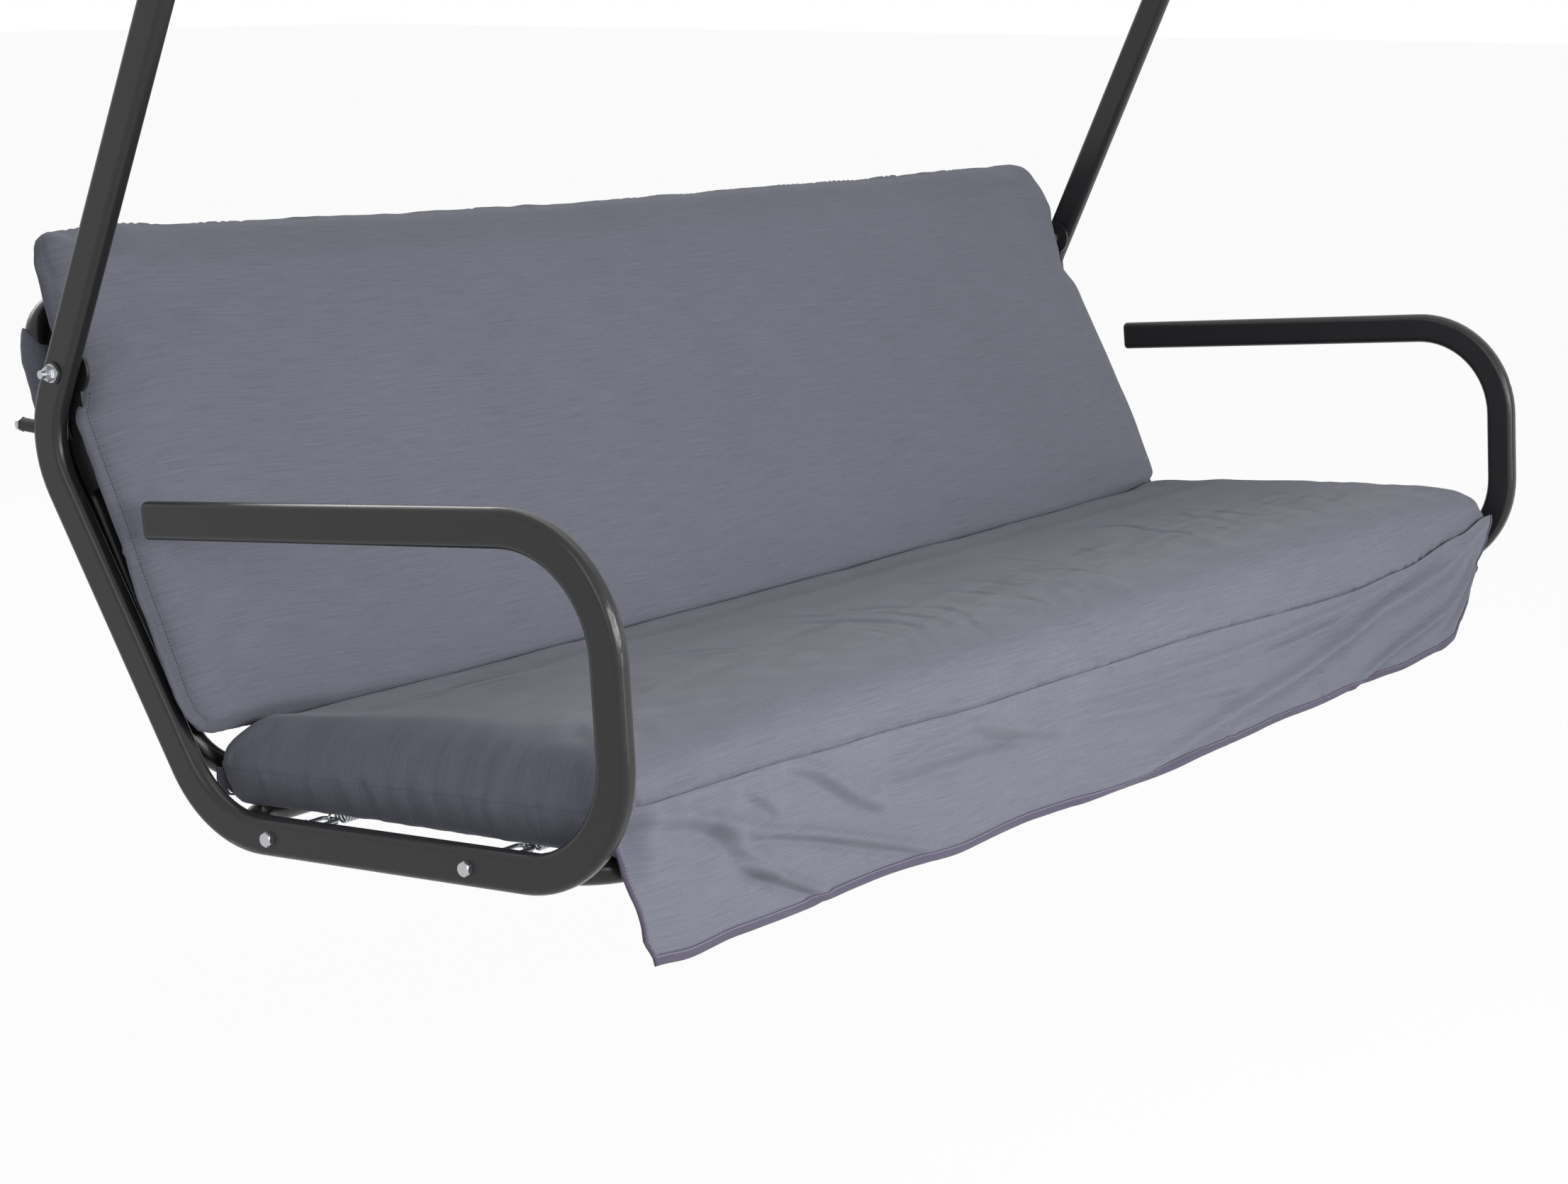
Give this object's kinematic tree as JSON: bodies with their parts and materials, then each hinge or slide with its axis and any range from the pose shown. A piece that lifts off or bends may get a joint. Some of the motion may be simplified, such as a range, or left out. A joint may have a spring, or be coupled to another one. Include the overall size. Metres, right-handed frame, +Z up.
{
  "type": "garden swing seat",
  "caption": "Hung seat of a garden swing: bent side frames with armrests and hangers, sprung wire seat, padded seat and back cushions with a front skirt.",
  "frame": {"origin": "middle of the swing axis, halfway between the two hanger pivots, above the seat's centre of mass", "axes": "+X along the seat and the swing axis, the front of the seat faces -Y, +Z up"},
  "size_m": [1.829, 0.8002, 1.0888],
  "materials": {
    "black_frame": "satin",
    "zinc_plate": "satin",
    "spring_steel": "satin",
    "grey_cloth": "matte",
    "edge_tape": "matte",
    "black_plastic": "satin",
    "rubber": "matte"
  },
  "bodies": {
    "hanging_brackets": {"hanging_bracket_left": "black_frame", "hanging_bracket_right": "black_frame", "pivot_bolts": "zinc_plate", "pivot_nuts": "zinc_plate"},
    "seat": {"side_frame_left": "black_frame", "side_frame_right": "black_frame", "armrest_end_cap_left": "black_plastic", "armrest_end_cap_right": "black_plastic", "hanger_end_caps": "black_plastic", "pivot_bushes": "black_plastic", "seat_frame": "black_frame", "seat_braces": "black_frame", "seat_frame_bolts": "zinc_plate", "seat_frame_nuts": "zinc_plate", "seat_spring_left_front": "spring_steel", "seat_spring_left_rear": "spring_steel", "seat_spring_right_front": "spring_steel", "seat_spring_right_rear": "spring_steel", "seat_springs_front": "spring_steel", "seat_springs_rear": "spring_steel", "spring_staples": "spring_steel", "seat_mat": "black_frame", "back_frame": "black_frame", "back_mat": "black_frame", "back_foot_plates": "black_frame", "back_bracket_left": "black_frame", "back_bracket_right": "black_frame", "back_bracket_bolts": "zinc_plate", "back_bracket_nuts": "zinc_plate", "back_bracket_washers": "black_plastic", "back_bracket_spacers": "black_plastic", "back_dome_bolts": "zinc_plate", "back_dome_washers": "black_plastic", "back_dome_nuts": "zinc_plate", "rear_buffers": "rubber", "rear_buffer_bolts": "zinc_plate", "seat_cushion": "grey_cloth", "back_cushion": "grey_cloth", "back_cushion_hood": "grey_cloth", "seat_skirt": "grey_cloth", "skirt_binding": "edge_tape", "cushion_ties": "edge_tape"}
  },
  "joints": [
    {"name": "swing", "type": "hinge", "parent": "hanging_brackets", "child": "seat", "pos_m": [0, 0, 0], "axis": [1, 0, 0], "range_deg": [-22, 22]}
  ]
}
